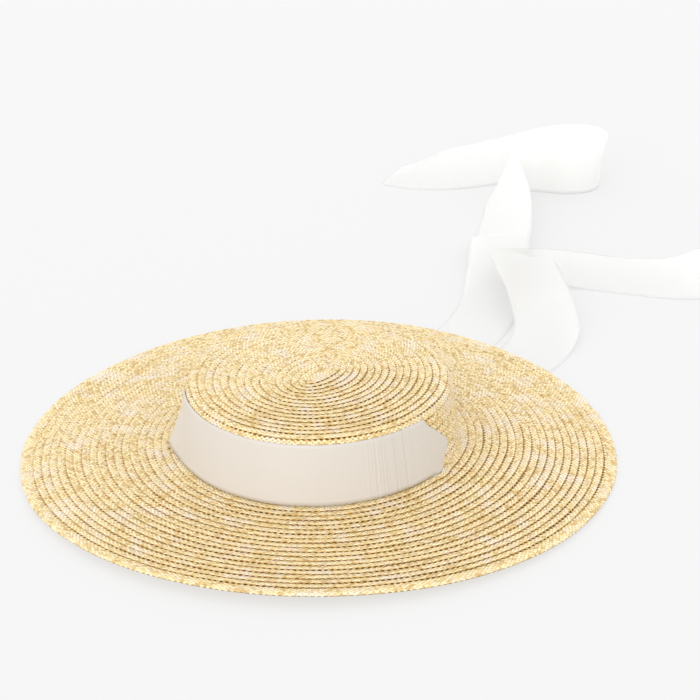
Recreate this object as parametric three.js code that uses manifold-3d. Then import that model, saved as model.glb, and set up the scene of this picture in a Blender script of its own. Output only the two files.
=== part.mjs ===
import * as THREE from 'three';
import { mergeVertices } from 'three/addons/utils/BufferGeometryUtils.js';
import Module from 'manifold-3d';

const wasm = await Module();
wasm.setup();

// A wide straw boater sewn from rows of braid, resting on a table with its ribbon ties laid out behind it.
// Millimetres, +Z up, the front of the hat towards -Y. Heights are worked out above the table. The whole hat
// is lowered at the end, so that the origin lies at the middle of the crown's inside, where a head touches.

// Crown
const crownHalfLength = 100.2; // half the oval at the base, front to back
const crownHalfWidth = 92.2; // half the oval at the base, side to side
const crownHeight = 44; // base of the wall to the middle of the top
const wallTaper = 6.5; // how far the wall leans in
const wallHeight = 38; // straight stretch of the wall
const topEdgeInset = 14.2; // base outline to the first row of the flat top
const topEdgeHeight = 41.9;
const startBar = 17.5; // half length of the straight first stitch of braid at the middle of the top
const wallRows = 9; // rows of braid from the base to the top's edge
const topRows = 15;

// Brim
const brimFront = 97; // width of the brim at the front and back
const brimSide = 103; // width of the brim at the sides
const brimRows = 19;
const rimRow = 8.4; // the last, wider row of braid
const brimSlope = 8; // fall of the brim from the crown to the table
const brimRise = 6.5; // how much higher the rim stands at the front and back than at the sides
const brimTwist = 7; // degrees by which the lowest sides of the rim are turned from the hat's sides

// Straw
const straw = 2; // thickness of the sewn braid
const rowLip = 0.6; // how far one row of braid stands over the next
const seatGap = 0.3; // sewn joint between crown and brim

// Ribbon
const ribbon = 1; // thickness of the ribbon
const bandWidth = 38; // ribbon drawn round the front of the crown
const tieWidth = 50; // loose ribbon behind the hat
const bandLift = 1; // lower edge of the band above the brim
const bandStandOff = 1.2; // from the wall of the crown to the middle of the ribbon

// The two slits beside the crown that the ribbon passes down through, in degrees round from the front
const leftSlitFront = 66;
const leftSlitBack = 99;
const rightSlitFront = 65;
const rightSlitBack = 80;
const slitOpening = 4.6; // width of a slit at its middle
const slitMargin = 3; // degrees between an end of the slit and the ribbon's edge
const slitRoot = 0.1; // how far a slit reaches under the wall of the crown
const footBelowBrim = 1; // how far the band's ends hang below the underside of the brim
const ribbonJoint = 0.3; // gap between a band's end and its tie
const tieRunIn = 10; // from a slit inwards to where its tie meets the table

// Shares of the way out from the middle of the top, and of the way from the crown to the rim
const insideFlat = 0.25; // the flat middle of the top's inside
const insideRings = [0.75, 0.5, insideFlat];
const underRings = [0.75, 0.5, 0.25, 0];

const pointsRound = 44;
const bandSteps = 20;
const bandRowsAcross = 4;
const stepsPerRow = 3;

const brimTop = straw + brimSlope; // top of the brim at the crown, above the table
const crownBase = brimTop + seatGap;
const bandFoot = brimTop - straw - footBelowBrim;

const leftSlit = { side: -1, front: leftSlitFront, back: leftSlitBack };
const rightSlit = { side: 1, front: rightSlitFront, back: rightSlitBack };

const degrees = Math.PI / 180;
const mix = THREE.MathUtils.lerp;

const strawMaterial = new THREE.MeshStandardMaterial({ color: '#e3c07f', roughness: 0.75, metalness: 0 });
const brimMaterial = new THREE.MeshStandardMaterial({ color: '#dfba78', roughness: 0.75, metalness: 0 });
const satinMaterial = new THREE.MeshStandardMaterial({ color: '#efeae0', roughness: 0.4, metalness: 0 });
const tieMaterial = new THREE.MeshStandardMaterial({ color: '#f4f1ea', roughness: 0.4, metalness: 0 });

// One ring of points round an upright oval. A height may depend on the angle round from +X.
function oval(halfWidth, halfLength, height) {
  const ring = [];
  for (let i = 0; i < pointsRound; i++) {
    const angle = (i / pointsRound) * 2 * Math.PI;
    const z = typeof height === 'function' ? height(angle) : height;
    ring.push(new THREE.Vector3(halfWidth * Math.cos(angle), halfLength * Math.sin(angle), z));
  }
  return ring;
}

// A closed skin over rings listed from the inside of the upper face outwards. Without a cap the last ring
// joins the first. With caps the first and last rings are filled to their middles.
function skin(rings, capped) {
  const points = rings.flat();
  const faces = [];
  const spans = capped ? rings.length - 1 : rings.length;
  for (let r = 0; r < spans; r++) {
    const near = r * pointsRound;
    const far = ((r + 1) % rings.length) * pointsRound;
    for (let i = 0; i < pointsRound; i++) {
      const j = (i + 1) % pointsRound;
      faces.push(near + i, far + i, far + j, near + i, far + j, near + j);
    }
  }
  if (capped) {
    const lastRing = (rings.length - 1) * pointsRound;
    points.push(new THREE.Vector3(0, 0, rings[0][0].z));
    points.push(new THREE.Vector3(0, 0, rings[rings.length - 1][0].z));
    for (let i = 0; i < pointsRound; i++) {
      const j = (i + 1) % pointsRound;
      faces.push(points.length - 2, i, j);
      faces.push(points.length - 1, lastRing + j, lastRing + i);
    }
  }
  const geometry = new THREE.BufferGeometry().setFromPoints(points);
  geometry.setIndex(faces);
  return geometry;
}

// The profile of the wall from the base to the edge of the top: x is the inset, y the height above the base.
const wallProfile = new THREE.CurvePath();
wallProfile.add(new THREE.LineCurve(new THREE.Vector2(0, 0), new THREE.Vector2(wallTaper, wallHeight)));
wallProfile.add(new THREE.QuadraticBezierCurve(
  new THREE.Vector2(wallTaper, wallHeight),
  new THREE.Vector2(wallTaper * (topEdgeHeight / wallHeight), topEdgeHeight),
  new THREE.Vector2(topEdgeInset, topEdgeHeight),
));
const wallLength = wallProfile.getLength();
const wallSlant = wallProfile.curves[0].getLength();

// A point of the wall's profile, moved out from the wall but no lower than its foot: inset and height.
function wallPoint(length, outset) {
  const share = THREE.MathUtils.clamp(length / wallLength, 0, 1);
  const point = wallProfile.getPointAt(share);
  const along = wallProfile.getTangentAt(share);
  return { inset: point.x - along.y * outset, height: Math.max(0, point.y + along.x * outset) };
}

function wallRing(length, outset) {
  const { inset, height } = wallPoint(length, outset);
  return oval(crownHalfWidth - inset, crownHalfLength - inset, crownBase + height);
}

// Height of the domed top: share 0 is its middle, 1 its outer edge.
function topHeight(share) {
  return crownBase + topEdgeHeight + (crownHeight - topEdgeHeight) * (1 - share * share);
}

function topRing(share, outset) {
  const halfWidth = (crownHalfWidth - topEdgeInset) * share;
  const halfLength = mix(startBar, crownHalfLength - topEdgeInset, share);
  return oval(halfWidth, halfLength, topHeight(share) + outset);
}

// Each row of braid is hidden under the one nearer the middle, so its inner edge lies low and its outer
// edge high.
function makeCrown() {
  const rings = [];
  for (let row = 1; row <= topRows; row++) {
    if (row > 1) rings.push(topRing((row - 1) / topRows, -rowLip / 2));
    rings.push(topRing(row / topRows, rowLip / 2));
  }
  for (let row = wallRows; row >= 1; row--) {
    rings.push(wallRing((row / wallRows) * wallLength, -rowLip / 2));
    rings.push(wallRing(((row - 1) / wallRows) * wallLength, row > 1 ? rowLip / 2 : 0));
  }
  const insideSteps = 4;
  for (let step = 0; step <= insideSteps; step++) {
    rings.push(wallRing((step / insideSteps) * wallLength, -straw));
  }
  for (const share of insideRings) rings.push(topRing(share, -straw));
  return skin(rings, true);
}

// A ring of the brim: share 0 is the crown's base, 1 the rim.
function brimRing(share, outset) {
  const height = (angle) => {
    const rise = (brimRise * (1 - Math.cos(2 * (angle - brimTwist * degrees)))) / 2;
    return straw + brimSlope * (1 - share) + rise * share * share + outset;
  };
  return oval(crownHalfWidth + brimSide * share, crownHalfLength + brimFront * share, height);
}

function makeBrim() {
  const rimShare = (2 * rimRow) / (brimFront + brimSide);
  const seatRing = (height) => oval(crownHalfWidth - straw, crownHalfLength - straw, height);
  const rings = [seatRing(brimTop), brimRing(0, 0)];
  for (let row = 1; row < brimRows; row++) {
    const edge = (row / (brimRows - 1)) * (1 - rimShare);
    rings.push(brimRing(edge, rowLip / 2));
    rings.push(brimRing(edge, -rowLip / 2));
  }
  const roundOff = straw / 2 / brimFront;
  rings.push(brimRing(1 - roundOff, 0));
  rings.push(brimRing(1, -straw / 2));
  for (const share of [1 - roundOff, ...underRings]) rings.push(brimRing(share, -straw));
  rings.push(seatRing(brimTop - straw));
  const brim = toSolid(skin(rings, false));
  return fromSolid(brim.subtract(toSolid(makeSlit(leftSlit))).subtract(toSolid(makeSlit(rightSlit))));
}

function toSolid(geometry) {
  const merged = mergeVertices(geometry);
  return new wasm.Manifold(new wasm.Mesh({
    numProp: 3,
    vertProperties: new Float32Array(merged.attributes.position.array),
    triVerts: new Uint32Array(merged.index.array),
  }));
}

function fromSolid(solid) {
  const mesh = solid.getMesh();
  const geometry = new THREE.BufferGeometry();
  geometry.setAttribute('position', new THREE.BufferAttribute(mesh.vertProperties, 3));
  geometry.setIndex(new THREE.BufferAttribute(mesh.triVerts, 1));
  return geometry;
}

// A point beside the crown's base: degrees round from the front, and how far out from the base.
function besideCrown(turn, outset, side) {
  const x = side * (crownHalfWidth + outset) * Math.sin(turn * degrees);
  return new THREE.Vector2(x, -(crownHalfLength + outset) * Math.cos(turn * degrees));
}

// A slit through the brim: straight along the crown, bulging outwards to its full opening at the middle.
function makeSlit({ side, front, back }) {
  const steps = 8;
  const outline = [];
  for (let i = 0; i <= steps; i++) {
    const opening = slitOpening * Math.sqrt(Math.sin((i / steps) * Math.PI));
    outline.push(besideCrown(mix(front, back, i / steps), opening, side));
  }
  for (let i = steps - 1; i > 0; i--) {
    outline.push(besideCrown(mix(front, back, i / steps), -slitRoot, side));
  }
  const through = { depth: 2 * brimTop, bevelEnabled: false };
  const slit = new THREE.ExtrudeGeometry(new THREE.Shape(outline), through);
  slit.deleteAttribute('normal');
  slit.deleteAttribute('uv');
  return slit;
}

// A closed strip of even thickness about lines of points, each line running once across the ribbon.
function ribbonStrip(lines) {
  const across = lines[0].length;
  const points = [];
  for (const line of lines) {
    for (const { point, normal } of line) points.push(point.clone().addScaledVector(normal, ribbon / 2));
    for (const { point, normal } of line) points.push(point.clone().addScaledVector(normal, -ribbon / 2));
  }
  const ringSize = 2 * across;
  const end = across - 1;
  const faces = [];
  const quad = (a, b, c, d) => faces.push(a, b, c, a, c, d);
  for (let r = 0; r < lines.length - 1; r++) {
    const near = r * ringSize;
    const far = near + ringSize;
    for (let i = 0; i < end; i++) {
      quad(near + i, far + i, far + i + 1, near + i + 1);
      faces.push(near + across + i, near + across + i + 1, far + across + i + 1);
      faces.push(near + across + i, far + across + i + 1, far + across + i);
    }
    quad(near, near + across, far + across, far);
    quad(near + end, far + end, far + across + end, near + across + end);
  }
  const last = (lines.length - 1) * ringSize;
  for (let i = 0; i < end; i++) {
    quad(i, i + 1, across + i + 1, across + i);
    quad(last + i, last + across + i, last + across + i + 1, last + i + 1);
  }
  const geometry = new THREE.BufferGeometry().setFromPoints(points);
  geometry.setIndex(faces);
  return geometry;
}

// The ends of the band, from the full height down into their slits. Turns are shares of the way from the
// front to the back of the slit's ribbon, and heights are shares of the band's width. The left end lies
// flat in its slit, and the right end is gathered into a shorter one.
const leftBandEnd = [
  { lowTurn: -0.14, lowHeight: 0, topTurn: -0.16, topHeight: 1 },
  { lowTurn: -0.08, lowHeight: 0, topTurn: 0.0, topHeight: 0.97 },
  { lowTurn: -0.04, lowHeight: -0.01, topTurn: 0.22, topHeight: 0.78 },
  { lowTurn: -0.01, lowHeight: -0.03, topTurn: 0.48, topHeight: 0.5 },
  { lowTurn: 0.0, lowHeight: -0.055, topTurn: 0.74, topHeight: 0.24 },
  { lowTurn: 0.0, lowHeight: -0.085, topTurn: 0.95, topHeight: 0.02 },
];
const rightBandEnd = [
  { lowTurn: -0.66, lowHeight: 0, topTurn: -0.72, topHeight: 1 },
  { lowTurn: -0.28, lowHeight: 0, topTurn: -0.3, topHeight: 0.97 },
  { lowTurn: -0.06, lowHeight: -0.01, topTurn: 0.2, topHeight: 0.84 },
  { lowTurn: 0.04, lowHeight: -0.03, topTurn: 0.72, topHeight: 0.66 },
  { lowTurn: 0.08, lowHeight: -0.055, topTurn: 1.22, topHeight: 0.4 },
  { lowTurn: 0.06, lowHeight: -0.085, topTurn: 1.2, topHeight: 0.14 },
];

// A line across the band, which stays straight up the wall and hangs straight down below its foot.
function bandLine(lowTurn, lowHeight, topTurn, topHeight, side) {
  const line = [];
  for (let i = 0; i <= bandRowsAcross; i++) {
    const share = i / bandRowsAcross;
    const turn = mix(lowTurn, topTurn, share) * degrees;
    const length = bandLift + mix(lowHeight, topHeight, share) * bandWidth;
    const inset = (wallTaper * Math.max(0, length)) / wallSlant - bandStandOff - rowLip / 2;
    const point = new THREE.Vector3(
      side * (crownHalfWidth - inset) * Math.sin(turn),
      -(crownHalfLength - inset) * Math.cos(turn),
      crownBase + (wallHeight * length) / wallSlant,
    );
    line.push({ point, normal: new THREE.Vector3(side * Math.sin(turn), -Math.cos(turn), 0) });
  }
  return line;
}

// From the full height to the slit, and straight down in it as far as the joint with the tie.
function bandHalf({ side, front, back }, bandEnd) {
  const turn = (share) => mix(front + slitMargin, back - slitMargin, share);
  const foot = (((bandFoot - crownBase) * wallSlant) / wallHeight - bandLift) / bandWidth;
  const lines = bandEnd.map((row) => (
    bandLine(turn(row.lowTurn), row.lowHeight, turn(row.topTurn), row.topHeight, side)
  ));
  lines.push(bandLine(turn(0), foot, turn(1), foot, side));
  return { start: turn(bandEnd[0].lowTurn), lines };
}

function makeBand() {
  const left = bandHalf(leftSlit, leftBandEnd);
  const right = bandHalf(rightSlit, rightBandEnd);
  const lines = left.lines.reverse();
  for (let i = 1; i < bandSteps; i++) {
    const turn = mix(-left.start, right.start, i / bandSteps);
    lines.push(bandLine(turn, 0, turn, 1, 1));
  }
  lines.push(...right.lines);
  return ribbonStrip(lines);
}

// The ties, laid out on the table. Across and back are shares of the brim's reach to the back. Lift is the
// height of the lower edge as a share of the ribbon's width. Roll is the ribbon's tilt in degrees: 0 lies
// flat, 90 stands on its edge, positive with its right-hand edge up.
const leftTieRoute = [
  { across: -0.29, back: -0.01, lift: 0, roll: 0 },
  { across: -0.13, back: 0.11, lift: 0, roll: 0 },
  { across: 0.02, back: 0.33, lift: 0, roll: 0 },
  { across: 0.17, back: 0.66, lift: 0, roll: 0 },
  { across: 0.31, back: 1.01, lift: 0.02, roll: 0 },
  { across: 0.35, back: 1.37, lift: 0.02, roll: 0 },
  { across: 0.325, back: 1.66, lift: 0.12, roll: 0 },
  { across: 0.295, back: 1.91, lift: 0.3, roll: 4 },
  { across: 0.28, back: 2.09, lift: 0.08, roll: 14 },
  { across: 0.24, back: 2.4, lift: 0.02, roll: 32 },
  { across: 0.185, back: 2.66, lift: 0.02, roll: 60 },
  { across: 0.195, back: 2.8, lift: 0.01, roll: 80 },
  { across: 0.31, back: 2.83, lift: 0, roll: 88 },
  { across: 0.47, back: 2.83, lift: 0, roll: 88 },
  { across: 0.585, back: 2.9, lift: 0, roll: 86 },
  { across: 0.61, back: 3.03, lift: 0, roll: 82 },
  { across: 0.53, back: 3.14, lift: 0, roll: 76 },
  { across: 0.385, back: 3.15, lift: 0, roll: 66 },
  { across: 0.23, back: 3.08, lift: 0, roll: 50 },
  { across: 0.06, back: 2.97, lift: 0, roll: 40 },
  { across: -0.11, back: 2.87, lift: 0, roll: 33 },
  { across: -0.27, back: 2.85, lift: 0, roll: 18 },
  { across: -0.39, back: 2.88, lift: 0, roll: 7 },
];

const rightTieRoute = [
  { across: 0.29, back: -0.06, lift: 0, roll: 0 },
  { across: 0.25, back: 0.08, lift: 0, roll: 0 },
  { across: 0.28, back: 0.27, lift: 0, roll: 0 },
  { across: 0.38, back: 0.46, lift: 0, roll: 0 },
  { across: 0.49, back: 0.64, lift: 0, roll: 0 },
  { across: 0.57, back: 0.87, lift: 0, roll: 0 },
  { across: 0.61, back: 1.1, lift: 0.12, roll: 0 },
  { across: 0.56, back: 1.28, lift: 0.36, roll: 0 },
  { across: 0.475, back: 1.45, lift: 0.6, roll: 0 },
  { across: 0.44, back: 1.585, lift: 0.5, roll: -4 },
  { across: 0.5, back: 1.7, lift: 0.2, roll: -10 },
  { across: 0.64, back: 1.745, lift: 0.04, roll: -15 },
  { across: 0.84, back: 1.74, lift: 0, roll: -16 },
  { across: 1.04, back: 1.725, lift: 0, roll: -24 },
  { across: 1.2, back: 1.735, lift: 0, roll: -44 },
];

// A tie from below its slit along its route. It starts as wide as the ribbon in the slit, and its width
// stays square to the way it runs.
function makeTie(route, { side, front, back }) {
  const slitStart = besideCrown(front + slitMargin, bandStandOff + rowLip / 2, side);
  const slitEnd = besideCrown(back - slitMargin, bandStandOff + rowLip / 2, side);
  const slitMiddle = slitStart.clone().add(slitEnd).multiplyScalar(0.5);
  const slitLength = slitStart.distanceTo(slitEnd);
  const inwards = new THREE.Vector2(slitStart.y - slitEnd.y, slitEnd.x - slitStart.x).setLength(side);
  const reach = crownHalfLength + brimFront;
  const top = bandFoot - ribbonJoint - ribbon / 2;
  const drop = [{ share: 0, lift: top }, { share: 0.2, lift: top / 2 }, { share: 1, lift: 0 }];
  const runIn = drop.map(({ share, lift }) => ({
    x: slitMiddle.x + inwards.x * tieRunIn * share,
    y: slitMiddle.y + inwards.y * tieRunIn * share,
    lift,
    roll: 0,
    width: slitLength,
  }));
  const laid = route.map((row) => ({
    x: row.across * reach,
    y: row.back * reach,
    lift: row.lift * tieWidth,
    roll: row.roll,
    width: tieWidth,
  }));
  const stops = [...runIn, ...laid];
  const points = stops.map((stop) => new THREE.Vector3(stop.x, stop.y, stop.lift));
  const path = new THREE.CatmullRomCurve3(points, false, 'centripetal');
  const steps = (stops.length - 1) * stepsPerRow;
  const middle = [];
  for (let i = 0; i <= steps; i++) {
    const point = path.getPoint(i / steps);
    const row = Math.min(Math.floor(i / stepsPerRow), stops.length - 2);
    const share = i / stepsPerRow - row;
    const roll = mix(stops[row].roll, stops[row + 1].roll, share) * degrees;
    const width = mix(stops[row].width, stops[row + 1].width, share);
    point.z = Math.max(point.z, 0) + ribbon / 2 + (Math.abs(Math.sin(roll)) * width) / 2;
    middle.push({ point, roll, width });
  }
  const lines = middle.map(({ point, roll, width }, i) => {
    const along = middle[Math.min(i + 1, steps)].point.clone().sub(middle[Math.max(i - 1, 0)].point);
    const right = new THREE.Vector3(along.y, -along.x, 0).normalize();
    const across = right.multiplyScalar(Math.cos(roll)).setZ(Math.sin(roll));
    const normal = across.clone().cross(along).normalize();
    return [0.5, 0, -0.5].map((share) => ({
      point: point.clone().addScaledVector(across, share * width),
      normal,
    }));
  });
  return ribbonStrip(lines);
}

function addPiece(group, name, geometry, material) {
  geometry.computeVertexNormals();
  const mesh = new THREE.Mesh(geometry, material);
  mesh.name = name;
  group.add(mesh);
}

const hat = new THREE.Group();
addPiece(hat, 'crown', makeCrown(), strawMaterial);
addPiece(hat, 'brim', makeBrim(), brimMaterial);
addPiece(hat, 'hat_band', makeBand(), satinMaterial);
addPiece(hat, 'tie_left', makeTie(leftTieRoute, leftSlit), tieMaterial);
addPiece(hat, 'tie_right', makeTie(rightTieRoute, rightSlit), tieMaterial);
hat.position.z = straw - topHeight(insideFlat);

export default hat;
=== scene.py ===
import bpy, math
import numpy as np
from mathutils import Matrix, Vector


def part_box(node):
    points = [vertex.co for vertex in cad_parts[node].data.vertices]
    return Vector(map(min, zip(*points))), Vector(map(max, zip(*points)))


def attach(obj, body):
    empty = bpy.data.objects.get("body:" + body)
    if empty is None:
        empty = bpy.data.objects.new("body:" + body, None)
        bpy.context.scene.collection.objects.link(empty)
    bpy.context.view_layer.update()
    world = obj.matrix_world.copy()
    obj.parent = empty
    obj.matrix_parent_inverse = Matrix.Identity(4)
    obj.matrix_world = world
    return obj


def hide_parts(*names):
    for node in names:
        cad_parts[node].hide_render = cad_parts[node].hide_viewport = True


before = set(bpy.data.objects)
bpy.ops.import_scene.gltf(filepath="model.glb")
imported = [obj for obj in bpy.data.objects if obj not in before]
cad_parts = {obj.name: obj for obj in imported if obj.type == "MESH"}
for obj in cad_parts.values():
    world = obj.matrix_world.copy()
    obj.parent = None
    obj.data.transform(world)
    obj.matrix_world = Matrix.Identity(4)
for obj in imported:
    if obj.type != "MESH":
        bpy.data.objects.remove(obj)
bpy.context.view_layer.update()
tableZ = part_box("brim")[0].z  # the brim's lowest point rests on the table
mm = 0.001
print("frame loaded, table at", round(tableZ, 5))


def toLinear(hexColour):
    shares = [int(hexColour[i:i + 2], 16) / 255 for i in (1, 3, 5)]
    return [c / 12.92 if c <= 0.04045 else ((c + 0.055) / 1.055) ** 2.4 for c in shares] + [1.0]


# Sockets go by number where a node repeats their names. Mix has 0 for its factor, 2 and 3 for numbers, and 6
# and 7 for colours.
def addNode(tree, kind, inputs=None, **settings):
    node = tree.nodes.new("ShaderNode" + kind)
    for name, value in settings.items():
        setattr(node, name, value)
    for name, value in (inputs or {}).items():
        if isinstance(value, bpy.types.NodeSocket):
            tree.links.new(value, node.inputs[name])
        else:
            node.inputs[name].default_value = value
    return node


def newMaterial(name):
    material = bpy.data.materials.new(name)
    material.use_nodes = True
    tree = material.node_tree
    tree.nodes.clear()
    return material, tree


def finishMaterial(tree, inputs):
    surface = addNode(tree, "BsdfPrincipled", inputs)
    addNode(tree, "OutputMaterial", {"Surface": surface.outputs[0]})


def newPiece(name, points, quads, uv, material, gap=None):
    mesh = bpy.data.meshes.new(name)
    mesh.from_pydata(points.tolist(), [], quads.tolist())
    layer = mesh.uv_layers.new(name="plait")
    layer.data.foreach_set("uv", uv[quads.ravel()].astype(np.float32).ravel())
    if gap is not None:
        mesh.attributes.new("gap", "FLOAT", "POINT").data.foreach_set("value", gap.astype(np.float32))
    mesh.polygons.foreach_set("use_smooth", [True] * len(quads))
    mesh.materials.append(material)
    mesh.update()
    piece = bpy.data.objects.new(name, mesh)
    bpy.context.scene.collection.objects.link(piece)
    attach(piece, "root")
    return piece


view = {  # metres in the frame, and mm for the lens and its sensor
    "from": (0.26277, -0.97031, 0.46264), "to": (-0.01797, 0.15569, -0.05117), "lens": 87.43, "sensor": 36,
}

camera = bpy.data.objects.new("camera", bpy.data.cameras.new("camera"))
bpy.context.scene.collection.objects.link(camera)
camera.location = view["from"]
camera.rotation_euler = (Vector(view["to"]) - Vector(view["from"])).to_track_quat("-Z", "Y").to_euler()
camera.data.lens = view["lens"]
camera.data.sensor_width = view["sensor"]
camera.data.clip_start = 0.05
bpy.context.scene.camera = camera

# The table is cast opal acrylic, sanded matt, with a painted glow: its emission lifts the light under the
# hat, so that shadows stay as faint as in a catalogue picture.
studio = {
    "floor": "#7c7c7c", "glow": 0.64, "floorReach": 8,
    "world": 1.25, "key": 1.2, "keyAngle": 60, "keyFrom": (-0.08, -0.95, 0.4),
}

floorMesh = bpy.data.meshes.new("floor")
reach = studio["floorReach"]
corners = [(-reach, -reach, tableZ), (reach, -reach, tableZ), (reach, reach, tableZ), (-reach, reach, tableZ)]
floorMesh.from_pydata(corners, [], [(0, 1, 2, 3)])
floor = bpy.data.objects.new("floor", floorMesh)
bpy.context.scene.collection.objects.link(floor)
matFloor, tree = newMaterial("matt opal acrylic")
# a grey floor made pale by its painted glow, which also paints light into the shadows on it
finishMaterial(tree, {
    "Base Color": toLinear(studio["floor"]), "Roughness": 0.9, "Specular IOR Level": 0.1,
    "Emission Color": (1, 1, 1, 1), "Emission Strength": studio["glow"],
})
floorMesh.materials.append(matFloor)

world = bpy.data.worlds.new("studio")
bpy.context.scene.world = world
world.use_nodes = True
world.node_tree.nodes["Background"].inputs["Color"].default_value = (1, 1, 1, 1)
world.node_tree.nodes["Background"].inputs["Strength"].default_value = studio["world"]

key = bpy.data.objects.new("key", bpy.data.lights.new("key", "SUN"))
bpy.context.scene.collection.objects.link(key)
key.data.energy = studio["key"]
key.data.angle = math.radians(studio["keyAngle"])
key.rotation_euler = (-Vector(studio["keyFrom"])).to_track_quat("-Z", "Y").to_euler()
bpy.context.scene.view_settings.view_transform = "Standard"
print("camera, floor and light ready")


# Split wheat straw, dyed a light gold, plaited flat and sewn in rows. The eye sees fine slanting strands that
# change colour from one crossing to the next and a satin gloss. Painted dark brown shade marks the gaps where
# one row laps the next and the small holes between strands, and a painted highlight lightens some row edges.
straw = {
    "plait": 3.55,  # mm from one fold of a strand to the next along a row
    "crossing": (3.55, 2.5),  # mm from one crossing of strands to the next, along and across a row
    "colours": ("#edd397", "#f9e8bc", "#d2b277", "#f6ebdc"),  # gold, pale, tan and pinkish strands
    "gap": "#5a3c02",  # the painted shade at the core of a gap between rows
    "shade": "#9c6c14",  # the painted shade at its edges and in the small holes between strands
    "patch": 14.29,  # mm from one pinkish patch to the next
    "stray": 3.846,  # mm from one wider stretch of painted gap shade to the next
    "roughness": 0.46,
    "gloss": 0.2,
    "relief": 0.35,  # mm from the top of a strand to the bottom of a crossing
}


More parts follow.
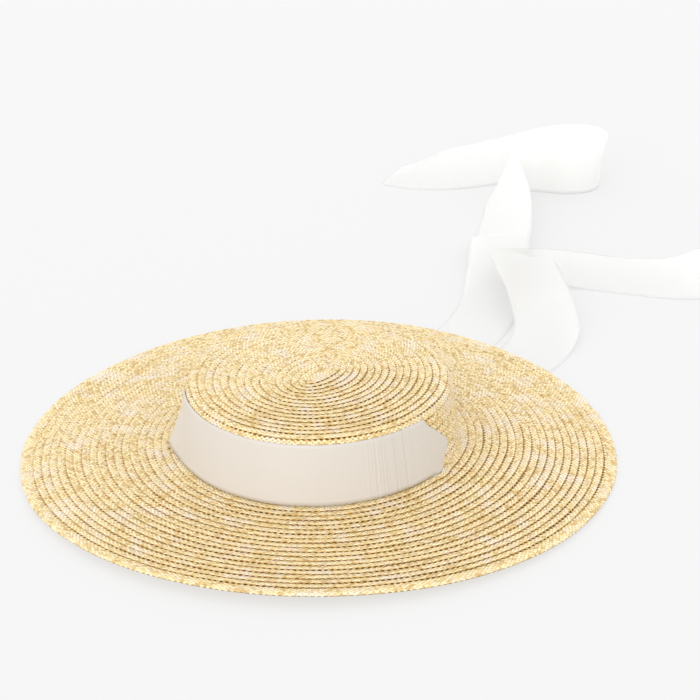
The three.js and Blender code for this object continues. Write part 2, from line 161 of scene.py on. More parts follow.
def makeStrawMaterial(name):
    material, tree = newMaterial(name)
    # strands run both ways at a slant, and each cell of the slanting grid is a crossing of two of them
    uv = addNode(tree, "UVMap", uv_map="plait").outputs[0]
    finer = [straw["plait"] / size for size in straw["crossing"]]
    crossings = addNode(tree, "VectorMath", {0: uv, 1: (*finer, 1.0)}, operation="MULTIPLY").outputs[0]
    along = addNode(tree, "SeparateXYZ", {0: crossings})
    right = addNode(tree, "Math", {0: along.outputs[0], 1: along.outputs[1]}, operation="ADD").outputs[0]
    left = addNode(tree, "Math", {0: along.outputs[0], 1: along.outputs[1]}, operation="SUBTRACT").outputs[0]
    slant = addNode(tree, "CombineXYZ", {0: right, 1: left}).outputs[0]
    cell = addNode(tree, "VectorMath", {0: slant}, operation="FLOOR").outputs[0]
    strand = addNode(tree, "SeparateXYZ", {0: cell})
    inCell = addNode(tree, "VectorMath", {0: slant}, operation="FRACTION").outputs[0]
    within = addNode(tree, "SeparateXYZ", {0: inCell})
    both = addNode(tree, "Math", {0: strand.outputs[0], 1: strand.outputs[1]}, operation="ADD").outputs[0]
    over = addNode(tree, "Math", {0: both, 1: 2.0}, operation="FLOORED_MODULO").outputs[0]

    # the strand that lies on top there
    topId = addNode(tree, "Mix", {0: over, 2: strand.outputs[0], 3: strand.outputs[1]}).outputs[0]
    topAcross = addNode(tree, "Mix", {0: over, 2: within.outputs[0], 3: within.outputs[1]}).outputs[0]
    topAlong = addNode(tree, "Mix", {0: over, 2: within.outputs[1], 3: within.outputs[0]}).outputs[0]
    seed = addNode(tree, "CombineXYZ", {0: topId, 1: over}).outputs[0]
    strandChance = addNode(tree, "TexWhiteNoise", {"Vector": seed}, noise_dimensions="3D").outputs[0]
    cellChance = addNode(tree, "TexWhiteNoise", {"Vector": cell}, noise_dimensions="3D").outputs[0]
    chance = addNode(tree, "Mix", {0: 0.7, 2: strandChance, 3: cellChance}).outputs[0]

    # fine lines along each strand, drawn at 0.4 mm although the real ones are about 0.1 mm
    lineAcross = addNode(tree, "Math", {0: topAcross, 1: 4.0}, operation="MULTIPLY").outputs[0]
    lineSeed = addNode(tree, "Math", {0: topId, 1: 7.31}, operation="MULTIPLY").outputs[0]
    lineAt = addNode(tree, "CombineXYZ", {0: lineAcross, 1: topAlong, 2: lineSeed}).outputs[0]
    lines = addNode(tree, "TexNoise", {
        "Vector": lineAt, "Scale": 1.0, "Detail": 2.0, "Roughness": 0.6,
    }).outputs[0]

    # each strand is round across and dips at its crossings, with a small hole where four strands meet,
    # painted with shade
    acrossTurn = addNode(tree, "Math", {0: topAcross, 1: math.pi}, operation="MULTIPLY").outputs[0]
    alongTurn = addNode(tree, "Math", {0: topAlong, 1: math.pi}, operation="MULTIPLY").outputs[0]
    acrossRound = addNode(tree, "Math", {0: acrossTurn}, operation="SINE").outputs[0]
    alongRound = addNode(tree, "Math", {0: alongTurn}, operation="SINE").outputs[0]
    rounding = addNode(tree, "Math", {0: acrossRound, 1: 0.5}, operation="POWER").outputs[0]
    dipping = addNode(tree, "MapRange", {0: alongRound, 3: 0.45, 4: 1.0}).outputs[0]
    relief = addNode(tree, "Math", {0: rounding, 1: dipping}, operation="MULTIPLY").outputs[0]
    height = addNode(tree, "Math", {0: lines, 1: 0.25, 2: relief}, operation="MULTIPLY_ADD").outputs[0]
    tilted = addNode(tree, "Math", {0: cellChance, 1: 0.5, 2: height}, operation="MULTIPLY_ADD").outputs[0]
    bump = addNode(tree, "Bump", {
        "Height": tilted, "Distance": straw["relief"] * mm, "Strength": 1.0,
    }).outputs[0]
    nearest = addNode(tree, "Math", {0: acrossRound, 1: alongRound}, operation="MAXIMUM").outputs[0]
    holeDepth = addNode(tree, "MapRange", {0: nearest, 1: 0.88, 2: 0.6, 3: 0.0, 4: 1.0}).outputs[0]
    holeChance = addNode(tree, "MapRange", {0: cellChance, 3: 0.15, 4: 0.75}).outputs[0]
    hole = addNode(tree, "Math", {0: holeDepth, 1: holeChance}, operation="MULTIPLY").outputs[0]

    # a colour for each crossing, pinkish in some patches, with the fine lines over it
    gold, pale, tan, pink = (toLinear(c) for c in straw["colours"])
    first = addNode(tree, "MapRange", {0: chance, 1: 0.36, 2: 0.62}).outputs[0]
    goldPale = addNode(tree, "Mix", {0: first, 6: gold, 7: pale}, data_type="RGBA").outputs[2]
    isTan = addNode(tree, "MapRange", {0: chance, 1: 0.36, 2: 0.16}).outputs[0]
    withTan = addNode(tree, "Mix", {0: isTan, 6: goldPale, 7: tan}, data_type="RGBA").outputs[2]
    place = addNode(tree, "TexCoord").outputs["Object"]
    patches = addNode(tree, "TexNoise", {
        "Vector": place, "Scale": 1 / (straw["patch"] * mm), "Detail": 4.0, "Roughness": 0.65,
    }).outputs[0]
    isPink = addNode(tree, "MapRange", {0: patches, 1: 0.5, 2: 0.7, 3: 0.0, 4: 0.9}).outputs[0]
    withPink = addNode(tree, "Mix", {0: isPink, 6: withTan, 7: pink}, data_type="RGBA").outputs[2]
    lineShade = addNode(tree, "MapRange", {0: lines, 1: 0.32, 2: 0.68, 3: 0.68, 4: 1.12}).outputs[0]
    lined = addNode(tree, "Mix", {
        0: 1.0, 6: withPink, 7: lineShade,
    }, data_type="RGBA", blend_type="MULTIPLY").outputs[2]
    # painted shade in the holes between strands
    shade = toLinear(straw["shade"])
    shadedHoles = addNode(tree, "Mix", {0: hole, 6: lined, 7: shade}, data_type="RGBA").outputs[2]

    # painted shade in the gaps between rows, shown between the folds of the plait, and where the row's value
    # is below 0
    # a painted highlight: the edge above a gap is drawn without the painted shade of its holes
    gap = addNode(tree, "Attribute", attribute_name="gap").outputs["Fac"]
    foldAt = addNode(tree, "SeparateXYZ", {0: uv}).outputs[0]
    foldTurn = addNode(tree, "Math", {0: foldAt, 1: 2 * math.pi}, operation="MULTIPLY").outputs[0]
    foldWave = addNode(tree, "Math", {0: foldTurn}, operation="COSINE").outputs[0]
    between = addNode(tree, "MapRange", {0: foldWave, 1: 0.85, 2: -0.1, 3: 0.0, 4: 1.0}).outputs[0]
    uneven = addNode(tree, "TexNoise", {
        "Vector": place, "Scale": 1 / (straw["stray"] * mm), "Detail": 1.0,
    }).outputs[0]
    gapEdge = addNode(tree, "Math", {0: uneven, 1: 0.6, 2: gap}, operation="MULTIPLY_ADD").outputs[0]
    gapDepth = addNode(tree, "MapRange", {0: gapEdge, 1: 0.48, 2: 0.88, 3: 0.0, 4: 0.97}).outputs[0]
    gapShare = addNode(tree, "Math", {0: gapDepth, 1: between}, operation="MULTIPLY").outputs[0]
    ridgeHighlight = addNode(tree, "MapRange", {0: gap, 1: 0.0, 2: -1.0, 3: 0.0, 4: 1.0}).outputs[0]
    withRidgeHighlight = addNode(tree, "Mix", {0: ridgeHighlight, 6: shadedHoles, 7: lined}, data_type="RGBA").outputs[2]

    # painted gap shade: warm ochre at its edges and dark brown only at its core
    glow = addNode(tree, "MapRange", {0: gapShare, 1: 0.05, 2: 0.6}).outputs[0]
    warmed = addNode(tree, "Mix", {0: glow, 6: withRidgeHighlight, 7: shade}, data_type="RGBA").outputs[2]
    core = addNode(tree, "MapRange", {0: gapShare, 1: 0.5, 2: 1.0}).outputs[0]
    brown = toLinear(straw["gap"])
    colour = addNode(tree, "Mix", {0: core, 6: warmed, 7: brown}, data_type="RGBA").outputs[2]
    finishMaterial(tree, {
        "Base Color": colour, "Roughness": straw["roughness"], "Specular IOR Level": straw["gloss"],
        "Normal": bump,
    })
    return material


matStraw = makeStrawMaterial("plaited wheat straw")


# Across a row: share of its width, mm beyond that, mm above the brim or crown, darkness of the painted shade
# (below 0 a painted highlight) and share of the edge's waves. Heights under -1 mm are the row's underside.
topProfile = [
    (0.0, -0.9, -0.9, 1.0, 0.0),
    (0.0, 0.4, -0.65, 1.0, 0.0),
    (0.0, 1.0, -0.35, 0.25, 0.0),
    (0.55, 0.0, 0.1, 0.05, 0.0),
    (1.0, -0.4, 0.6, -0.5, 0.5),
    (1.0, -0.05, 0.45, 0.0, 1.0),
    (1.0, 0.1, -0.85, 1.0, 1.0),
]
wallRow = [  # flatter, and outside the painted gap shade lighter, with a painted highlight
    (share, shift, height * 0.9, dark if dark > 0 else -0.6, wave)
    for share, shift, height, dark, wave in topProfile
]
# the first row has none inside it to lap over
startProfile = [(0.0, 0.0, 0.15, 0.0, 0.0), (0.3, 0.0, 0.25, -0.3, 0.0)] + topProfile[3:]
underProfile = [  # seen from below, each row laps the one nearer the middle
    (0.0, 0.0, -1.6, 1.0, 1.0),
    (0.0, 0.25, -1.96, 0.1, 1.0),
    (0.5, 0.0, -1.98, 0.0, 0.0),
    (1.0, 0.3, -1.7, 0.7, 0.0),
]
rimProfile = [  # the last row is wider and rolled over
    (0.0, -0.9, -0.9, 1.0, 0.0),
    (0.0, 0.4, -0.65, 1.0, 0.0),
    (0.0, 1.0, -0.35, 0.25, 0.0),
    (0.45, 0.0, 0.2, -0.2, 0.0),
    (0.8, 0.0, 0.34, -0.5, 0.0),
    (1.0, -0.7, 0.05, -0.7, 0.4),
    (1.0, -0.1, -0.75, -0.5, 0.8),
    (1.0, -0.3, -1.5, 1.0, 0.8),
    (0.75, 0.0, -1.96, 0.1, 0.0),
    (0.0, 0.25, -1.96, 0.1, 0.6),
    (0.0, 0.0, -1.6, 1.0, 0.6),
]
lap = {
    "edgeWave": 0.3,  # mm, how far the folds of the plait stand in and out along an edge
    "foldStray": 0.07,  # mm, how far single folds stray from that
    "foldLift": 0.03,  # mm, how far they stray up and down
    "sway": 0.09,  # mm, how far a whole row strays from its line
    "closed": 0.3,  # share of its height that a closed lap keeps
    "closedGap": 0.14,  # and of its painted shade
    "openGap": 1.2,  # how fast the painted shade in a gap darkens as its lap opens
    "patternStep": 61,  # plaits that the pattern moves on from one row to the next
    # how far each row stands off the last, which also sets the painted shade and highlight: the gap shade is
    # darkest at the front and right and the edge highlight strongest at the left, where the light falls.
    # Degrees round from the right, with the front at 270
    "opening": (
        (0, 0.46), (30, 0.2), (55, 0.2), (80, 0.35), (120, 0.3), (160, 0.26), (190, 0.15), (225, 0.24),
        (250, 0.52), (270, 0.62), (300, 0.66), (330, 0.62), (360, 0.46),
    ),
}


# Rows of braid sewn round the hat. place(distance, angle) gives points on its surface and the way off it.
class Braid:
    def __init__(self, seed):
        self.random = np.random.default_rng(seed)
        self.points, self.quads, self.uv, self.gap = [], [], [], []
        self.count, self.rows = 0, 0

    def addRow(self, place, start, width, profile, perPlait):
        middle = np.linspace(0, 2 * np.pi, 721)
        loop, _ = place(np.full(len(middle), start + width / 2), middle)
        length = np.concatenate([[0], np.cumsum(np.linalg.norm(np.diff(loop, axis=0), axis=1))])
        plaits = max(8, round(length[-1] / straw["plait"]))
        columns = plaits * perPlait
        u = np.arange(columns + 1) / perPlait
        begin = self.random.random()
        angle = np.interp(((u / plaits + begin) % 1) * length[-1], length, middle)
        fold = np.cos(2 * np.pi * u)
        wild = self.random.normal(0, 1, plaits + 1)
        wild[-1] = wild[0]
        uneven = np.interp(u, np.arange(plaits + 1), wild)
        opening = np.interp(np.degrees(angle) % 360, *zip(*lap["opening"]))
        sway = 0
        for waves in (2, 3, 5, 8, 13):
            size = self.random.normal(0, lap["sway"])
            sway = sway + size * np.cos(waves * angle + self.random.random() * 6.28)
        # where the laps open, the painted gap shade is darker and the painted highlight on the edges over
        # them weaker
        darker = np.minimum(1, lap["closedGap"] + opening * lap["openGap"])
        highlightShare = 1.25 - 0.75 * opening
        ring = np.arange(columns + 1)
        for share, shift, height, dark, wave in profile:
            across = share * width + shift + wave * (lap["edgeWave"] * fold + lap["foldStray"] * uneven)
            point, normal = place(start + across + sway, angle)
            lifted = height * (lap["closed"] + (1 - lap["closed"]) * opening) if height > -1 else height
            lifted = lifted + lap["foldLift"] * uneven * wave
            self.points.append(point + normal * lifted[:, None])
            self.uv.append(np.stack([u + lap["patternStep"] * self.rows, across / straw["plait"]], 1))
            shown = darker if dark > 0.5 else highlightShare if dark < 0 else np.ones(columns + 1)
            self.gap.append(dark * shown)
        for r in range(len(profile) - 1):
            a = self.count + r * (columns + 1) + ring[:-1]
            b = a + columns + 1
            self.quads.append(np.stack([a, b, b + 1, a + 1], 1))
        self.count += len(profile) * (columns + 1)
        self.rows += 1

    def piece(self, name):
        points = np.concatenate(self.points) * mm + [0, 0, tableZ]
        quads, uv, gap = (np.concatenate(part) for part in (self.quads, self.uv, self.gap))
        return newPiece(name, points, quads, uv, matStraw, gap)


brim = {  # mm, and degrees for twist and the slits
    "halfWidth": 92.2, "halfLength": 100.2,  # at the crown
    "side": 103.0, "front": 97.0,  # from there out to the rim
    "rows": 19, "rimRow": 8.4, "slope": 8.0, "rise": 6.5, "twist": 7.0, "thick": 2.0,
    # each slit for the ribbon: which side, and where it begins and ends round from the front
    "slits": ((-1, 66, 99), (1, 65, 80)), "gapeEnds": (99, 74), "slitOpening": 2.6, "slitRows": 2,
}
brimReach = (brim["side"] + brim["front"]) / 2
rowWidth = (brimReach - brim["rimRow"]) / (brim["rows"] - 1)


def slitPush(angle):  # how far the slits open at an angle round from +X, in mm
    turn = np.degrees(np.arctan2(np.cos(angle), -np.sin(angle)))
    push = np.zeros_like(angle)
    for (side, front, _), back in zip(brim["slits"], brim["gapeEnds"]):
        share = np.clip((turn * side - front) / (back - front), 0, 1)
        push += brim["slitOpening"] * np.sqrt(np.clip(np.sin(share * np.pi), 0, 1))
    return push


def onBrim(distance, angle):
    pushedRows = rowWidth * brim["slitRows"]
    pushed = distance + slitPush(angle) * np.clip(1 - distance / pushedRows, 0, 1)
    t = pushed / brimReach
    rise = brim["rise"] * (1 - np.cos(2 * (angle - math.radians(brim["twist"])))) / 2
    z = brim["thick"] + brim["slope"] * (1 - t) + rise * t * t
    point = np.stack([
        (brim["halfWidth"] + brim["side"] * t) * np.cos(angle),
        (brim["halfLength"] + brim["front"] * t) * np.sin(angle),
        z,
    ], 1)
    return point, np.broadcast_to([0.0, 0.0, 1.0], point.shape)


brimTop, brimUnder = Braid(11), Braid(12)
for row in range(brim["rows"] - 1):
    brimTop.addRow(onBrim, row * rowWidth, rowWidth, topProfile if row else startProfile, perPlait=4)
    brimUnder.addRow(onBrim, row * rowWidth, rowWidth, underProfile, perPlait=2)
brimTop.addRow(onBrim, brimReach - brim["rimRow"], brim["rimRow"], rimProfile, perPlait=3)
brimPiece = brimTop.piece("brim_braid")
underPiece = brimUnder.piece("brim_underside")
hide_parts("brim")
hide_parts("brim")
print("brim:", len(brimPiece.data.polygons), "and", len(underPiece.data.polygons), "faces")


crown = {  # mm, and degrees for the turn of the bar that the top's rows start round
    "height": 44.0, "taper": 6.5, "wallHeight": 38.0, "edgeInset": 14.2, "edgeHeight": 41.9,
    "startBar": 11.5, "startTurn": 24.0, "startAt": (4.0, -4.0), "wallRows": 9, "topRows": 15, "seatGap": 0.3,
}
crownBase = brim["thick"] + brim["slope"] + crown["seatGap"]

share = np.linspace(0, 1, 60)[:, None]
straight = share * [crown["taper"], crown["wallHeight"]]
bend = [np.array(p) for p in (
    (crown["taper"], crown["wallHeight"]),
    (crown["taper"] * crown["edgeHeight"] / crown["wallHeight"], crown["edgeHeight"]),
    (crown["edgeInset"], crown["edgeHeight"]),
)]
curve = (1 - share) ** 2 * bend[0] + 2 * share * (1 - share) * bend[1] + share ** 2 * bend[2]
# inset and height, from the top's edge down to the base
wallProfile = np.concatenate([straight, curve[1:]])[::-1]
wallAlong = np.concatenate([[0], np.cumsum(np.linalg.norm(np.diff(wallProfile, axis=0), axis=1))])
wallTangent = np.gradient(wallProfile, wallAlong, axis=0)


def onWall(distance, angle):
    inset = np.interp(distance, wallAlong, wallProfile[:, 0])
    height = np.interp(distance, wallAlong, wallProfile[:, 1])
    down = np.interp(distance, wallAlong, wallTangent[:, 1])
    out = np.interp(distance, wallAlong, wallTangent[:, 0])
    below = np.maximum(0, distance - wallAlong[-1])
    point = np.stack([
        (brim["halfWidth"] - inset) * np.cos(angle),
        (brim["halfLength"] - inset) * np.sin(angle),
        crownBase + height - below,
    ], 1)
    normal = np.stack([-down * np.cos(angle), -down * np.sin(angle), -out], 1)
    return point, normal


def onTop(distance, angle):
    fullWidth = brim["halfWidth"] - crown["edgeInset"]
    fullLength = brim["halfLength"] - crown["edgeInset"]
    t = np.maximum(0, distance) / fullWidth
    startTurn = math.radians(crown["startTurn"])
    bar = crown["startBar"] * np.sin(angle + startTurn)
    point = np.stack([
        fullWidth * t * np.cos(angle) + (crown["startAt"][0] + bar * math.sin(startTurn)) * (1 - t),
        fullLength * t * np.sin(angle) + (crown["startAt"][1] + bar * math.cos(startTurn)) * (1 - t),
        crownBase + crown["edgeHeight"] + (crown["height"] - crown["edgeHeight"]) * (1 - t * t),
    ], 1)
    return point, np.broadcast_to([0.0, 0.0, 1.0], point.shape)


crownBraid = Braid(21)
topWidth = (brim["halfWidth"] - crown["edgeInset"]) / crown["topRows"]
for row in range(crown["topRows"]):
    crownBraid.addRow(onTop, row * topWidth, topWidth, topProfile if row else startProfile, perPlait=4)
    crownBraid.addRow(onTop, row * topWidth, topWidth, underProfile, perPlait=2)
wallWidth = wallAlong[-1] / crown["wallRows"]
for row in range(crown["wallRows"]):
    crownBraid.addRow(onWall, row * wallWidth, wallWidth, wallRow, perPlait=4)
    crownBraid.addRow(onWall, row * wallWidth, wallWidth, underProfile, perPlait=2)
crownPiece = crownBraid.piece("crown_braid")
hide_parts("crown")
print("crown:", len(crownPiece.data.polygons), "faces")


# Polyester satin ribbon, woven with long floats along its length and a firm edge on both sides. The eye
# sees a smooth ivory face with a soft gloss along the ribbon, faint cross ribs and soft creases. The band and
# the ties are the same ribbon: the band's darker, warmer tint is painted shade and painted warm light from
# the straw.
satin = {  # mm
    "ivory": "#c9c3bc", "white": "#d4d3cf", "roughness": 0.42, "gloss": 0.4,
    "thick": 0.4, "edge": 1.1,
    "rib": 1.5,  # drawn coarser than the real cross ribs, which are about 0.15 mm apart
    "shineThrough": 1.0, "shineDepth": 8.0,  # how much light goes through the loose ties, and how deep
}


def makeSatinMaterial(name, width, tint, shineThrough):
    material, tree = newMaterial(name)
    uv = addNode(tree, "UVMap", uv_map="plait").outputs[0]  # mm along and mm across
    at = addNode(tree, "SeparateXYZ", {0: uv})
    perRib = 2 * math.pi / satin["rib"]
    turn = addNode(tree, "Math", {0: at.outputs[0], 1: perRib}, operation="MULTIPLY").outputs[0]
    ribs = addNode(tree, "Math", {0: turn}, operation="SINE").outputs[0]
    fromMiddle = addNode(tree, "Math", {0: at.outputs[1], 1: width / 2}, operation="SUBTRACT").outputs[0]
    outwards = addNode(tree, "Math", {0: fromMiddle}, operation="ABSOLUTE").outputs[0]
    edgeFrom, edgeTo = width / 2 - satin["edge"], width / 2 - satin["edge"] * 0.6
    edge = addNode(tree, "MapRange", {0: outwards, 1: edgeFrom, 2: edgeTo}).outputs[0]
    # slack stretches, about 20 mm long and 50 mm wide
    stretch = addNode(tree, "VectorMath", {0: uv, 1: (0.05, 0.02, 1.0)}, operation="MULTIPLY").outputs[0]
    slack = addNode(tree, "TexNoise", {"Vector": stretch, "Scale": 1.0, "Detail": 1.0}).outputs[0]
    ribHeight = addNode(tree, "Math", {0: ribs, 1: 0.05, 2: edge}, operation="MULTIPLY_ADD").outputs[0]
    height = addNode(tree, "Math", {0: slack, 1: 3.0, 2: ribHeight}, operation="MULTIPLY_ADD").outputs[0]
    bump = addNode(tree, "Bump", {"Height": height, "Distance": 0.1 * mm, "Strength": 0.5}).outputs[0]
    tone = addNode(tree, "MapRange", {0: ribs, 1: -1.0, 2: 1.0, 3: 0.975, 4: 1.0}).outputs[0]
    colour = addNode(tree, "Mix", {
        0: 1.0, 6: toLinear(tint), 7: tone,
    }, data_type="RGBA", blend_type="MULTIPLY").outputs[2]
    finishMaterial(tree, {
        "Base Color": colour, "Roughness": satin["roughness"], "Specular IOR Level": satin["gloss"],
        "Normal": bump, "Sheen Weight": 0.1, "Sheen Roughness": 0.4,
        "Subsurface Weight": shineThrough, "Subsurface Radius": (1.0, 1.0, 1.0),
        "Subsurface Scale": satin["shineDepth"] * mm,
    })
    return material


# a smooth curve through rows of numbers; power 0 spaces them evenly and 0.5 by their distances
def catmullRom(rows, steps, power):
    rows = np.array(rows, float)
    padded = np.concatenate([[2 * rows[0] - rows[1]], rows, [2 * rows[-1] - rows[-2]]])
    result = []
    for i in range(len(rows) - 1):
        p0, p1, p2, p3 = padded[i:i + 4]
        gaps = [max(np.linalg.norm((b - a)[:3]), 1e-6) ** power for a, b in ((p0, p1), (p1, p2), (p2, p3))]
        m1 = ((p1 - p0) / gaps[0] - (p2 - p0) / (gaps[0] + gaps[1]) + (p2 - p1) / gaps[1]) * gaps[1]
        m2 = ((p2 - p1) / gaps[1] - (p3 - p1) / (gaps[1] + gaps[2]) + (p3 - p2) / gaps[2]) * gaps[1]
        t = np.arange(steps)[:, None] / steps
        result.append(
            (2 * t**3 - 3 * t**2 + 1) * p1 + (t**3 - 2 * t**2 + t) * m1
            + (3 * t**2 - 2 * t**3) * p2 + (t**3 - t**2) * m2
        )
    return np.concatenate(result + [rows[-1:]])


# grid has a line of points across the ribbon for each step along it, in mm
def ribbonPiece(name, grid, width, material):
    lines, across = grid.shape[:2]
    points = grid.reshape(-1, 3) * mm + [0, 0, tableZ]
    steps = np.linalg.norm(np.diff(grid[:, across // 2], axis=0), axis=1)
    along = np.concatenate([[0], np.cumsum(steps)])
    uv = np.stack(np.broadcast_arrays(along[:, None], np.linspace(0, width, across)[None]), -1).reshape(-1, 2)
    first = (np.arange(lines - 1)[:, None] * across + np.arange(across - 1)).ravel()
    quads = np.stack([first, first + across, first + across + 1, first + 1], 1)
    piece = newPiece(name, points, quads, uv, material)
    solid = piece.modifiers.new("thickness", "SOLIDIFY")
    solid.thickness = satin["thick"] * mm
    solid.offset = 0
    return piece, along[-1] * mm


band = {  # mm, and degrees round from the front
    "width": 38.0, "lift": 1.0, "standOff": 1.5, "foot": -1.0, "gape": -0.75, "slitMargin": 3.0,
    "radius": 97.0,  # of a circle as long as the band's own oval
    "creases": (36.0, 56.0), "creaseDepth": 0.65, "creaseWaves": (1.6, 5.5), "creaseCount": 6,
    "flareAt": -68.0, "flareSpan": 9.0, "flareOut": 4.0, "flareIn": 1.4,
    # each end: low turn, low height, top turn and top height, the turns as shares of the ribbon in its slit
    # and the heights as shares of its width
    "leftEnd": (
        (-0.14, 0, -0.16, 1), (-0.08, 0, 0.0, 0.97), (-0.04, -0.01, 0.22, 0.78), (-0.01, -0.03, 0.48, 0.5),
        (0.0, -0.055, 0.74, 0.24), (0.0, -0.085, 0.95, 0.02),
    ),
    "rightEnd": (
        (-0.8, 0, -0.78, 1), (-0.5, 0, -0.46, 0.99), (-0.4, 0, -0.36, 0.95), (-0.3, 0, -0.2, 0.87),
        (-0.12, -0.01, 0.22, 0.73), (-0.03, -0.03, 0.72, 0.56), (0.0, -0.045, 1.14, 0.4),
        (0.0, -0.06, 1.06, 0.28), (-0.02, -0.085, 0.62, 0.14),
    ),
    "rightFoot": (-0.04, 0.3),
    "leftFoot": (0, 1),
}
wallSlant = math.hypot(crown["taper"], crown["wallHeight"])


# rows for an end of the band, from the front to where it goes down through its slit
def bandEnd(slit, table, footShares):
    side, front, back = slit
    front, back = front + band["slitMargin"], back - band["slitMargin"]
    drop = brim["slope"] + band["foot"] - crownBase
    foot = (drop * wallSlant / crown["wallHeight"] - band["lift"]) / band["width"]
    rows = [(front + (back - front) * a, b, front + (back - front) * c, d) for a, b, c, d in table]
    rows.append((front + (back - front) * footShares[0], foot, front + (back - front) * footShares[1], foot))
    return [(side * a, b, side * c, d) for a, b, c, d in rows]


leftRows = bandEnd(brim["slits"][0], band["leftEnd"], band["leftFoot"])[::-1]
rightRows = bandEnd(brim["slits"][1], band["rightEnd"], band["rightFoot"])
frontTurns = np.linspace(leftRows[-1][0], rightRows[0][0], 14)[1:-1]
bandRows = catmullRom(leftRows + [(t, 0, t, 1) for t in frontTurns] + rightRows, steps=24, power=0.0)
s = np.linspace(0, 1, 17)
turn = bandRows[:, [0]] * (1 - s) + bandRows[:, [2]] * s
length = band["lift"] + (bandRows[:, [1]] * (1 - s) + bandRows[:, [3]] * s) * band["width"]

# creases where the ribbon is gathered to its slit, slow waves along all of it, and the flare at the left
chance = np.random.default_rng(31)
alongBand = np.radians(turn) * band["radius"]
folds = 0
for _ in range(band["creaseCount"]):
    size = chance.uniform(0.4, 1)
    wave = alongBand / chance.uniform(*band["creaseWaves"]) * 2 * np.pi
    folds = folds + size * np.sin(wave + chance.uniform(0, 6.28) + 0.5 * s)
folds = folds / (band["creaseCount"] / 2)
creaseMiddle, creaseHalf = sum(band["creases"]) / 2, (band["creases"][1] - band["creases"][0]) / 2
fold = band["creaseDepth"] * folds * np.exp(-((turn - creaseMiddle) / creaseHalf) ** 2)
soft = 0.16 * (1 + np.sin(np.radians(turn) * 9 + 1.3) * np.cos(np.radians(turn) * 4 + 2 * s))
leftEnd = np.exp(-((turn - band["flareAt"]) / band["flareSpan"]) ** 2)
up = np.clip(length / band["width"], 0, 1)
flareFoot = np.clip(1 - up / 0.5, 0, 1) ** 1.3
flareTop = np.sin(np.pi * np.clip((up - 0.35) / 0.65, 0, 1))
flare = leftEnd * (band["flareOut"] * flareFoot - band["flareIn"] * flareTop)
outset = band["standOff"] + fold + soft + flare + band["gape"] * up ** 3
inset = crown["taper"] * np.maximum(0, length) / wallSlant - outset
bandGrid = np.stack([
    (brim["halfWidth"] - inset) * np.sin(np.radians(turn)),
    -(brim["halfLength"] - inset) * np.cos(np.radians(turn)),
    crownBase + crown["wallHeight"] * length / wallSlant,
], -1)
# the band's tint is painted shade and painted warm light from the straw, laid over the ties' ivory
matBand = makeSatinMaterial("ivory satin band", band["width"], satin["ivory"], 0)
bandPiece, bandLength = ribbonPiece("hat_band_ribbon", bandGrid, band["width"], matBand)
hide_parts("hat_band")
print("band:", round(bandLength, 3), "m of ribbon")


ties = {  # mm
    "width": 50.0, "reach": 197.2, "runIn": 10.0, "joint": 0.3, "curl": 0.9,
    # across and back as shares of the reach, lift of the lower edge as a share of the width, roll in degrees
    "left": (
        (-0.29, -0.01, 0, 0), (-0.13, 0.11, 0, 0), (0.02, 0.33, 0, 0), (0.17, 0.66, 0, 0),
        (0.31, 1.01, 0.02, 0), (0.35, 1.37, 0.02, 0), (0.325, 1.66, 0.12, 0), (0.295, 1.91, 0.3, 4),
        (0.28, 2.09, 0.08, 14), (0.24, 2.4, 0.02, 32), (0.185, 2.66, 0.02, 60), (0.195, 2.8, 0.01, 80),
        (0.31, 2.83, 0, 88), (0.47, 2.83, 0, 88), (0.585, 2.9, 0, 86), (0.61, 3.03, 0, 82),
        (0.53, 3.14, 0, 76), (0.385, 3.15, 0, 66), (0.23, 3.08, 0, 50), (0.06, 2.97, 0, 40),
        (-0.11, 2.87, 0, 33), (-0.27, 2.85, 0, 18), (-0.39, 2.88, 0, 7),
    ),
    "right": (
        (0.29, -0.06, 0, 0), (0.25, 0.08, 0, 0), (0.28, 0.27, 0, 0), (0.38, 0.46, 0, 0), (0.49, 0.64, 0, 0),
        (0.57, 0.87, 0, 0), (0.61, 1.1, 0.12, 0), (0.56, 1.28, 0.36, 0), (0.475, 1.45, 0.6, 0),
        (0.44, 1.585, 0.5, -4), (0.5, 1.7, 0.2, -10), (0.64, 1.745, 0.04, -15), (0.84, 1.74, 0, -16),
        (1.04, 1.725, 0, -24), (1.2, 1.735, 0, -44),
    ),
}


def besideCrown(turnDegrees, side):
    a = math.radians(turnDegrees)
    halfWidth, halfLength = brim["halfWidth"] + band["standOff"], brim["halfLength"] + band["standOff"]
    return np.array([side * halfWidth * math.sin(a), -halfLength * math.cos(a)])


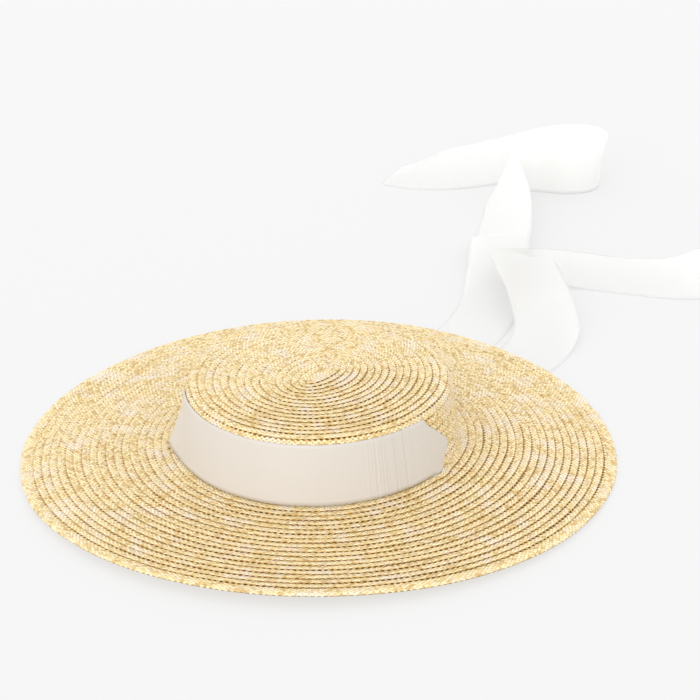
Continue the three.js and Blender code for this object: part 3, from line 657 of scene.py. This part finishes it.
# points along a tie and across it, from its slit to its cut end
def tieGrid(route, slit):
    side, front, back = slit
    begin, end = besideCrown(front + band["slitMargin"], side), besideCrown(back - band["slitMargin"], side)
    middle, slitLength = (begin + end) / 2, np.linalg.norm(end - begin)
    inwards = np.array([begin[1] - end[1], end[0] - begin[0]]) / slitLength * side
    top = brim["slope"] + band["foot"] - ties["joint"] - satin["thick"] / 2
    # down from the slit to the table, and then along the route
    rows = [
        (*(middle + inwards * ties["runIn"] * share), top * drop, 0, slitLength)
        for share, drop in ((0, 1), (0.2, 0.5), (1, 0))
    ]
    for across, back, lift, roll in route:
        rows.append((across * ties["reach"], back * ties["reach"], lift * ties["width"], roll, ties["width"]))
    path = catmullRom(rows, steps=14, power=0.5)
    roll, width = np.radians(path[:, 3]), np.clip(path[:, 4], slitLength, ties["width"])
    centre = path[:, :3].copy()
    centre[:, 2] = np.maximum(centre[:, 2], 0) + satin["thick"] / 2 + np.abs(np.sin(roll)) * width / 2
    along = np.gradient(centre, axis=0)
    flatWay = np.stack([along[:, 1], -along[:, 0], np.zeros(len(along))], 1)
    flatWay /= np.linalg.norm(flatWay, axis=1)[:, None]
    across = flatWay * np.cos(roll)[:, None] + np.array([0, 0, 1.0]) * np.sin(roll)[:, None]
    up = np.cross(across, along)
    up /= np.linalg.norm(up, axis=1)[:, None]
    s = np.linspace(0.5, -0.5, 15)
    grid = centre[:, None] + across[:, None] * (s * width[:, None])[..., None]
    bow = ties["curl"] * (1 - (2 * s) ** 2)
    grid += up[:, None] * bow[None, :, None] * np.where(up[:, [2]] < -0.2, -1, 1)[:, None]
    return grid


matTie = makeSatinMaterial("ivory satin tie", ties["width"], satin["white"], satin["shineThrough"])
for name, route, slit, node in (
    ("tie_left_ribbon", ties["left"], brim["slits"][0], "tie_left"),
    ("tie_right_ribbon", ties["right"], brim["slits"][1], "tie_right"),
):
    piece, length = ribbonPiece(name, tieGrid(route, slit), ties["width"], matTie)
    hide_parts(node)
    print(name, round(length, 3), "m")
